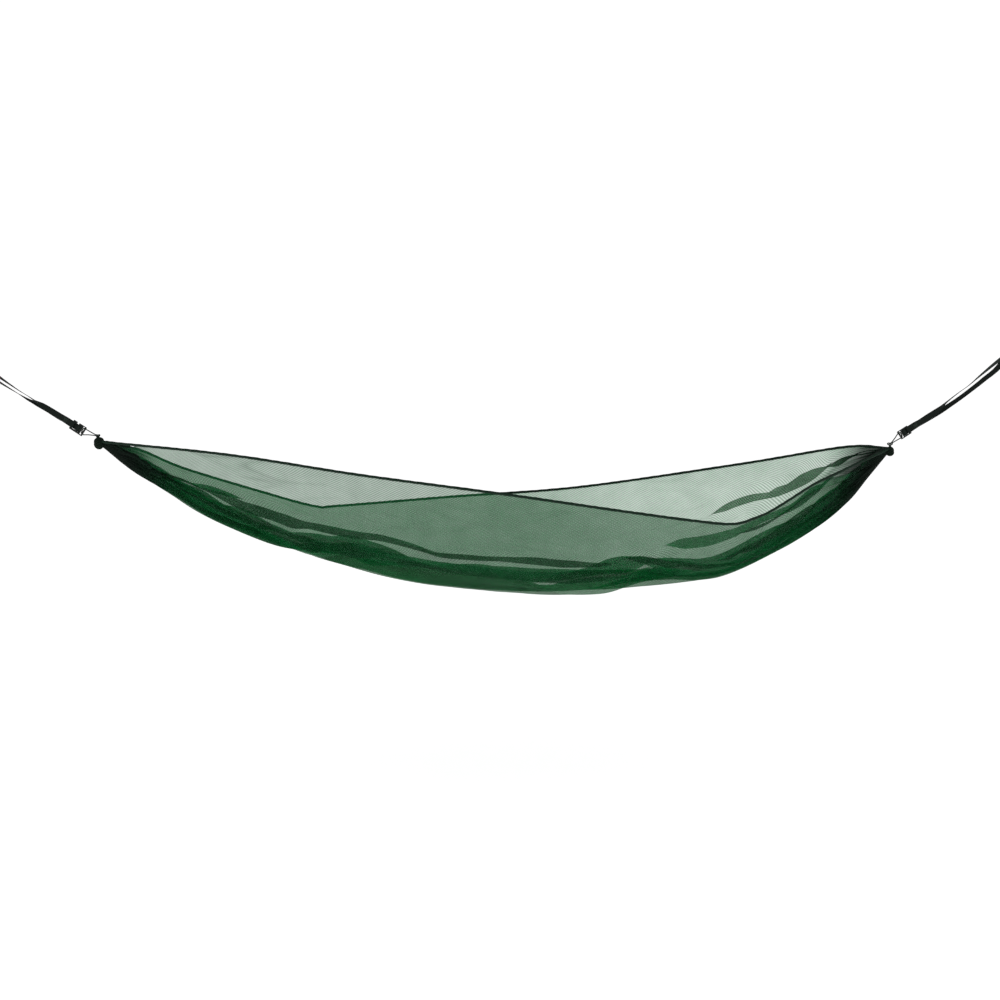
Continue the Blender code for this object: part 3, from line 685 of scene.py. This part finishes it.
# the bed
bedFacts = {
    "rows": 300, "columns": 320, "wallPower": 1.75, "flatWidth": 1.40, "flatLength": 2.60,
    "nearHem": [(-1.1672, -0.0080, -0.3110), (-0.7475, -0.1700, -0.3504), (-0.3595, -0.2650, -0.4067),
                (0.0460, -0.3050, -0.4593), (0.3755, -0.2950, -0.5070), (0.5945, -0.2650, -0.5373),
                (0.7050, -0.2450, -0.5469), (0.7745, -0.2250, -0.5293), (0.8305, -0.2050, -0.5058),
                (0.9515, -0.1550, -0.4380), (1.0115, -0.1250, -0.4123), (1.2140, -0.0080, -0.3330)],
    "farHem": [(-1.1672, 0.0080, -0.3110), (-1.0675, 0.0600, -0.3361), (-0.9485, 0.1200, -0.3923),
               (-0.7185, 0.2150, -0.4700), (-0.5585, 0.2550, -0.5164), (-0.4765, 0.2700, -0.5160),
               (-0.1095, 0.3050, -0.4873), (0.2960, 0.3000, -0.4566), (0.8045, 0.2200, -0.3810),
               (1.1025, 0.0750, -0.3269), (1.2140, 0.0080, -0.3300)],
    "keel": [(-1.1672, 0.0, -0.3260), (-1.0825, 0.0, -0.3936), (-0.9735, 0.0, -0.4630),
             (-0.8215, 0.0, -0.5540), (-0.5340, 0.0, -0.6650), (-0.2310, 0.0, -0.7390),
             (0.0965, 0.0, -0.7705), (0.3115, 0.0, -0.7740), (0.4565, 0.0, -0.7600),
             (0.6905, 0.0, -0.7240), (0.8625, 0.0, -0.6510), (1.0085, 0.0, -0.5660),
             (1.0965, 0.0, -0.4906), (1.1535, 0.0, -0.4210), (1.2140, 0.0, -0.3470)],
    "cover": 0.635, "openerCover": 0.54,
    # folds: how many across the flat cloth, where they fade in and out from the end, their share, their seed
    "folds": [(34, -0.1, 0.42, 1.0, 5), (15, 0.10, 0.95, 0.9, 7), (7, 0.50, 2.2, 0.95, 11)],
    "foldLean": 0.55, "foldCap": 0.32, "creaseDepth": 0.0016, "tuckWander": 0.022,
    # tucks: the wall it is in (-1 near, 1 far), the line of its middle as x and the share of the wall's
    # girth up from the keel, its length along the girth, how far it overlaps as a share of that, its lift
    "tucks": [
        (1, [(0.66, 0.57), (0.79, 0.63), (0.91, 0.66), (1.00, 0.73), (1.11, 0.82)], 0.095, 0.64, 0.006),
        (1, [(0.78, 0.53), (0.855, 0.56), (0.98, 0.60), (1.09, 0.71), (1.17, 0.80)], 0.065, 0.62, 0.005),
        (-1, [(0.66, 0.70), (0.77, 0.64), (0.92, 0.665), (1.045, 0.75), (1.18, 0.85)], 0.110, 0.66, 0.006),
        (-1, [(0.68, 0.88), (0.78, 0.865), (0.92, 0.865), (1.12, 0.89)], 0.060, 0.62, 0.004),
        (-1, [(0.62, 0.54), (0.78, 0.51), (0.92, 0.53), (1.05, 0.60), (1.16, 0.70)], 0.125, 0.66, 0.005),
        (-1, [(0.36, 0.56), (0.48, 0.52), (0.62, 0.38), (0.78, 0.30), (0.94, 0.33), (1.12, 0.42)],
         0.125, 0.62, 0.007),
        (1, [(0.44, 0.33), (0.65, 0.20), (0.80, 0.17), (0.95, 0.20), (1.12, 0.36)], 0.110, 0.60, 0.006),
        (1, [(0.52, 0.44), (0.78, 0.38), (0.93, 0.42), (1.10, 0.58)], 0.095, 0.60, 0.006),
        (-1, [(-0.64, 0.42), (-0.43, 0.48), (-0.31, 0.50), (-0.14, 0.445), (0.04, 0.467), (0.22, 0.46),
              (0.42, 0.52)], 0.080, 0.60, 0.005),
        (-1, [(-0.52, 0.31), (-0.31, 0.275), (-0.14, 0.265), (0.04, 0.28), (0.22, 0.285), (0.52, 0.33)],
         0.095, 0.60, 0.006),
        (1, [(-0.55, 0.40), (-0.34, 0.29), (-0.15, 0.25), (0.04, 0.23), (0.22, 0.20), (0.50, 0.18)],
         0.085, 0.60, 0.005),
        (-1, [(-1.15, 0.60), (-0.985, 0.34), (-0.855, 0.325), (-0.77, 0.28), (-0.646, 0.28), (-0.42, 0.22)],
         0.120, 0.62, 0.007),
        (-1, [(-1.15, 0.78), (-0.985, 0.56), (-0.855, 0.51), (-0.70, 0.46), (-0.52, 0.44)],
         0.105, 0.64, 0.006),
        (1, [(-1.06, 0.64), (-0.888, 0.57), (-0.73, 0.585), (-0.567, 0.50), (-0.42, 0.43)],
         0.085, 0.62, 0.005),
        (1, [(-1.09, 0.80), (-1.00, 0.76), (-0.88, 0.75), (-0.72, 0.77)], 0.060, 0.62, 0.004),
        (1, [(-1.15, 0.64), (-1.00, 0.44), (-0.89, 0.43), (-0.80, 0.40), (-0.67, 0.40), (-0.48, 0.38)],
         0.115, 0.62, 0.006),
        (1, [(-1.12, 0.34), (-0.90, 0.21), (-0.70, 0.19), (-0.45, 0.16)], 0.090, 0.60, 0.006),
    ],
}


def bedSurface():
    # rows run from end to end, columns from the near hem (v = -1) over the keel to the far hem (v = 1).
    # a section is keel + (hem - keel) * (k, k, k ** wallPower), read at even steps of its girth, and the
    # slack cloth is drawn towards the keel: place on the girth = v * (1 - c) + c * v ** 3.
    f = bedFacts
    t = np.linspace(0, 1, f["rows"])
    fractions = t - 1.2 * np.sin(2 * math.pi * t) / (2 * math.pi) * 0.5
    near, keel, far = (atFractions(f[line], fractions) for line in ("nearHem", "keel", "farHem"))
    v = np.linspace(-1, 1, f["columns"])
    k = np.linspace(0, 1, 80)
    shape = np.stack([k, k, k ** f["wallPower"]], axis=1)
    girths, halves = [], []
    for hem in (near, far):
        curve = keel[:, None] + (hem - keel)[:, None] * shape[None]
        run = np.concatenate([np.zeros((len(keel), 1)),
                              np.cumsum(np.linalg.norm(np.diff(curve, axis=1), axis=2), axis=1)], axis=1)
        girths.append(run[:, -1])
        halves.append(run / run[:, -1:])
    girth = girths[0] + girths[1]
    gathered = np.clip(f["flatWidth"] / girth, 1, 30)  # flat width over what is left of it
    c = np.clip((gathered - 1) / 2, 0, 0.6)[:, None]
    p = v * (1 - c) + c * v**3
    kNear = np.stack([np.interp(-row, half, k) for row, half in zip(np.minimum(p, 0), halves[0])])
    kFar = np.stack([np.interp(row, half, k) for row, half in zip(np.maximum(p, 0), halves[1])])
    kk = np.where(p < 0, kNear, kFar)[..., None]
    hem = np.where((p < 0)[..., None], near[:, None], far[:, None])
    base = keel[:, None] + (hem - keel[:, None]) * np.concatenate([kk, kk, kk ** f["wallPower"]], axis=2)
    density = gathered[:, None] / (1 - c + 3 * c * v**2)
    return base, v, p, fractions, girths, density


def foldedBed():
    f = bedFacts
    base, v, p, fractions, girths, density = bedSurface()
    girth = girths[0] + girths[1]
    across = unit(np.gradient(base, axis=1))
    ahead = unit(np.gradient(base, axis=0))
    inward = unit(np.cross(ahead, across))
    x = base[..., 0]
    toEnd = np.minimum(x - x[0].mean(), x[-1].mean() - x)
    flat = v[None] * f["flatWidth"] / 2  # metres across the flat cloth
    slack = np.sqrt(np.clip(1 - 1 / density**2, 0, 1))  # 0 where the cloth is taut, 1 where fully gathered

    # folds run lengthwise: fine ones at the gathered ends, which open out into broad ones at the keel.
    # each stands inwards by a * (1 + cos(phase)) and leans over along the section by lean * a * sin(phase)
    wander = ripples(x, flat, 3, 14, 1.6, 0.5)
    offset = np.zeros_like(x)
    lean = np.zeros_like(x)
    atHem = smooth(1 - np.abs(v), 0.0, 0.05)[None]
    for count, near, farAway, share, seed in f["folds"]:
        length = f["flatWidth"] / count
        fadeIn = smooth(toEnd, near, near + 0.25) if near > 0 else 1.0
        fadeOut = 1 - smooth(toEnd, farAway * 0.35, farAway)
        uneven = 0.65 + 0.35 * ripples(x, flat, seed, 12, 0.9, 0.16)
        phase = 2 * math.pi * flat / length + 1.9 * wander + 0.9 * ripples(x, flat, seed + 1, 10, 0.7, 0.3)
        wall = 1 - 0.93 * smooth(np.abs(p), 0.10, 0.55) * smooth(toEnd, 0.02, 0.45)
        a = length / 4 * slack * share * fadeIn * fadeOut * uneven * wall * atHem
        a = np.minimum(a, f["foldCap"] * girth[:, None] / 2)
        offset += a * (1 + np.cos(phase))
        lean += f["foldLean"] * a * np.sin(phase)
    # small creases on the walls
    crease = ripples(x, flat, 21, 26, 0.30, 0.045) * ripples(x, flat, 22, 10, 0.5, 0.3)
    offset += f["creaseDepth"] * crease * atHem * smooth(toEnd, 0.05, 0.3)
    points = base + inward * offset[..., None] + across * lean[..., None]

    # a tuck lies flat in three layers: with t from -0.5 to 0.5 across it, its points move back along the
    # wall by overlap * sin(2 pi t) * cos(pi t) ** 2 and stand off by a share of the same curve
    for seed, (wall, line, length, overlap, lift) in enumerate(f["tucks"]):
        xs, shares = np.array(line).T
        wallGirth = girths[0] if wall < 0 else girths[1]
        stray = f["tuckWander"] * ripples(x[:, 0], 0.0, 60 + seed, 8, 0.40, 1.0)
        middle = np.interp(x[:, 0], xs, shares) + stray
        t = (wall * p - middle[:, None]) * wallGirth[:, None] / length
        fade = smooth(x, xs[0], xs[0] + 0.10) * (1 - smooth(x, xs[-1] - 0.10, xs[-1]))
        fade = fade * np.clip(wallGirth / length / 2, 0, 1)[:, None]
        fade = fade * (0.84 + 0.16 * ripples(x, flat, 80 + seed, 8, 0.5, 0.6))
        curve = np.where(np.abs(t) < 0.5, np.sin(2 * math.pi * t) * np.cos(math.pi * t) ** 2, 0) * fade
        points = points - across * (wall * overlap * length * curve)[..., None]
        points = points + inward * (lift * curve)[..., None]

    # how much of each patch is yarn: more where the cloth is drawn together, standing for layers the mesh
    # doesn't have. In the cloth's shader high cover also gives the yarn its near-black painted shade, so the
    # raised cover below is partly painted shade
    cover = np.full_like(x, f["cover"])
    opener = smooth(x, 0.1, 0.5) * smooth(p, 0.15, 0.4)
    cover += (f["openerCover"] - f["cover"]) * opener
    # towards both ends the cover rises, most strongly right at them: partly the gathered cloth's extra
    # layers, partly painted shade of the gathered ends
    cover = cover + (1 - cover) * (1 - smooth(toEnd, 0.02, 0.34)) * 0.9 * (1 - smooth(np.abs(p), 0.45, 0.8))
    cover = cover + (1 - cover) * (1 - smooth(toEnd, 0.04, 0.18)) * 0.9
    # thin wandering lines of extra cover, stronger towards the ends: painted crease shade, partly the extra
    # layers of pressed creases
    line = (1 - np.abs(ripples(x, flat, 51, 16, 0.55, 0.10))) ** 7
    where = 0.25 + 0.75 * (1 - smooth(toEnd, 0.10, 0.75))
    cover = cover + (1 - cover) * 0.55 * line * where * smooth(ripples(x, flat, 52, 10, 0.6, 0.3), -0.2, 0.7)
    # extra cover along the hem edges: painted shade beside the hems, partly their double layer
    cover = cover + (1 - cover) * (1 - smooth(1 - np.abs(v), 0.0, 0.008))[None] * 0.8
    along = np.broadcast_to((fractions * f["flatLength"])[:, None], x.shape)
    uv = np.stack([along, np.broadcast_to(flat, x.shape)], axis=-1)
    return points, uv, np.clip(cover, 0, 1)


def makeBed():
    points, uv, cover = foldedBed()
    mesh = gridMesh("bed", points, uv)
    layer = mesh.attributes.new("cover", "FLOAT", "POINT")
    layer.data.foreach_set("value", cover.astype(np.float32).ravel())
    bed = newPiece("bed", mesh, meshCloth)
    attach(bed, "swing")
    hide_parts("bed_fabric")
    return bed


bed = makeBed()
print("bed folded")


hemFacts = {"half": 0.0041, "thin": 0.0028, "stitchEvery": 0.0042, "stitchLong": 0.0028, "thread": 0.00028}


def makeHem(name, line, side):
    # a rolled hem: an oval carried along the edge, its width drifting a little, with a row of stitches
    f = hemFacts
    path = atFractions(line, np.linspace(0, 1, 620))
    run = runLength(path)
    turn = np.linspace(0, 2 * math.pi, 20, endpoint=False)
    swell = 1 + 0.07 * np.sin(run * 190)[:, None] * np.cos(turn)[None] + 0.04 * np.sin(run * 61)[:, None]
    outline = np.stack([f["half"] * np.cos(turn) * swell, f["thin"] * np.sin(turn) * swell], axis=-1)
    hem = sweep(name, path, (0, 0.35 * side, 1), outline, hemCloth, roundEnds=0.002)
    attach(hem, "swing")
    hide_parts(name.replace("_rolled", ""))

    # each stitch is a short thread with pointed ends, lying on the outer face below the roll's middle
    starts = np.arange(0.01, run[-1] - 0.01, f["stitchEvery"])
    t = np.array([0.0, 0.2, 0.5, 0.8, 1.0])
    size = np.array([0.15, 0.85, 1.0, 0.85, 0.15]) * f["thread"]
    at = (starts[:, None] + t * f["stitchLong"]).ravel()
    middle = np.stack([np.interp(at, run, column) for column in path.T], axis=1)
    ahead = unit(np.stack([np.interp(at, run, column) for column in np.gradient(path, axis=0).T], axis=1))
    down = np.array((0, 0.35 * side, 1.0)) - ahead * (ahead @ np.array((0, 0.35 * side, 1.0)))[:, None]
    down = unit(down)
    out = np.cross(ahead, down)
    ring = circle(1.0, 6)
    pieces = []
    for facing in (-1, 1):
        centre = middle - down * f["half"] * 0.45 + out * facing * f["thin"] * 0.93
        thickness = np.tile(size, len(starts))[:, None, None]
        grid = (centre[:, None] + down[:, None] * ring[None, :, :1] * thickness
                + out[:, None] * ring[None, :, 1:] * thickness)
        pieces.append(grid.reshape(len(starts), 5, 6, 3))
    grids = np.concatenate(pieces)
    count = len(grids)
    base = (np.arange(count) * 30)[:, None, None]
    i, j = np.meshgrid(np.arange(4), np.arange(6), indexing="ij")
    after = (j + 1) % 6
    corner = np.stack([i * 6 + j, i * 6 + after, (i + 1) * 6 + after, (i + 1) * 6 + j], axis=-1)
    quads = (base + corner.reshape(1, -1, 4)).reshape(-1, 4)
    caps = np.concatenate([base[:, 0] + np.arange(6)[::-1], base[:, 0] + 24 + np.arange(6)])
    mesh = bpy.data.meshes.new(name + "_stitches")
    mesh.from_pydata(grids.reshape(-1, 3).tolist(), [], quads.tolist() + caps.tolist())
    shape = bmesh.new()
    shape.from_mesh(mesh)
    bmesh.ops.recalc_face_normals(shape, faces=shape.faces)
    shape.to_mesh(mesh)
    shape.free()
    stitches = newPiece(name + "_stitches", mesh, stitchThread)
    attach(stitches, "swing")
    return hem, stitches


nearHem, nearStitches = makeHem("near_hem_rolled", bedFacts["nearHem"], -1)
farHem, farStitches = makeHem("far_hem_rolled", bedFacts["farHem"], 1)
print("hems rolled and stitched")


channelFacts = {
    "folds": 15, "depth": 0.13, "fineDepth": 0.03, "lump": 0.05, "girth": 0.93,
    "dimple": 0.30, "dimpleReach": 0.35, "endRipple": 0.06,
}


def makeChannel(end):
    # the end channel drawn up on its cord: a ball flattened along X whose radius ripples round it,
    # radius = sin(polar) * (1 + depth * ripple), with the folds running in to both poles
    f = channelFacts
    half, radius = end["channelSize"]
    polar = np.linspace(0, math.pi, 61)[:, None]
    turn = np.linspace(0, 2 * math.pi, 240, endpoint=False)[None]
    seed = 31 if end["sign"] < 0 else 41
    uneven = 1.2 * np.sin(2 * turn + seed) + 0.7 * np.sin(3 * turn + 2 * seed)
    twist = 0.5 * np.cos(polar)
    ripple = np.cos(f["folds"] * (turn + twist) + uneven)
    fine = np.cos(2 * f["folds"] * (turn - twist) + 2 * uneven)
    rise = np.sin(polar)
    swell = 1 + f["depth"] * ripple * rise**0.5 + f["fineDepth"] * fine * rise
    lumps = 1 + f["lump"] * np.sin(3 * turn + seed) * rise
    r = radius * f["girth"] * rise * swell * lumps
    dimple = 1 - f["dimple"] * np.exp(-((rise / f["dimpleReach"]) ** 2))
    xs = half * np.cos(polar) * dimple * (1 + f["endRipple"] * ripple * rise)
    centre = np.array(end["channel"])
    points = np.stack(np.broadcast_arrays(centre[0] + xs, centre[1] + r * np.cos(turn),
                                          centre[2] + r * np.sin(turn)), axis=-1)
    u = np.broadcast_to(polar * radius, (61, 241))
    w = np.broadcast_to(np.linspace(0, 2 * math.pi * radius * 2, 241)[None], (61, 241))
    mesh = gridMesh(end["side"] + "_channel", points, np.stack([u, w], axis=-1), wrapped=True, closeEnds=True)
    ball = newPiece(end["side"] + "_channel", mesh, channelCloth)
    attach(ball, "swing")
    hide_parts(end["side"] + "_end_channel")
    return ball


channels = [makeChannel(end) for end in (leftEnd, rightEnd)]
print("end channels ruffled")


# the floor, the room and the lamps
stageFacts = {
    "floorDepth": 0.50, "floorReach": 40.0, "pale": 0.82, "glow": 0.65,
    "roomLight": 0.50, "roomSeen": 0.55,  # the room's strength as light, and what the camera sees beyond it
}


def makeFloor():
    n = Nodes("pale_floor")
    speck = n.noise(4, 4)
    pale = stageFacts["pale"]
    n.set(Base_Color=n.ramp(speck, [(0.3, (pale * 0.985,) * 3), (0.7, (pale,) * 3)]), Roughness=0.9,
          Specular_IOR_Level=0.1, Emission_Color=(1, 1, 1, 1), Emission_Strength=stageFacts["glow"])
    reach, low = stageFacts["floorReach"], cadBox[0].z - stageFacts["floorDepth"]
    side = np.linspace(-reach, reach, 9)
    points = np.stack(np.broadcast_arrays(side[:, None], side[None], low), axis=-1)
    floor = newPiece("floor", gridMesh("floor", points[:, ::-1]), n.material)


makeFloor()
world = bpy.data.worlds.new("white_room")
world.use_nodes = True
world.node_tree.nodes["Background"].inputs["Color"].default_value = (1, 1, 1, 1)
seen = world.node_tree.nodes.new("ShaderNodeLightPath")  # the room looks white and lights the object softly
strength = world.node_tree.nodes.new("ShaderNodeMath")
strength.operation = "MULTIPLY_ADD"
strength.inputs[1].default_value = stageFacts["roomSeen"]
strength.inputs[2].default_value = stageFacts["roomLight"]
world.node_tree.links.new(seen.outputs["Is Camera Ray"], strength.inputs[0])
world.node_tree.links.new(strength.outputs[0], world.node_tree.nodes["Background"].inputs["Strength"])
bpy.context.scene.world = world

lampFacts = [("key", (-2.2, -3.2, 2.2), 2.4, 6), ("fill", (2.6, -2.8, 1.4), 2.4, 3)]
for name, spot, size, power in lampFacts:
    light = bpy.data.lights.new(name, "AREA")
    light.size = size
    light.energy = power
    lamp = bpy.data.objects.new(name, light)
    lamp.location = spot
    toward = np.array((0.0, 0.0, -0.5)) - np.array(spot)
    lamp.rotation_euler = (math.acos(-toward[2] / np.linalg.norm(toward)), 0,
                           math.atan2(toward[1], toward[0]) - math.pi / 2)
    bpy.context.scene.collection.objects.link(lamp)
bpy.context.scene.view_settings.view_transform = "Standard"
print("floor and lights set")
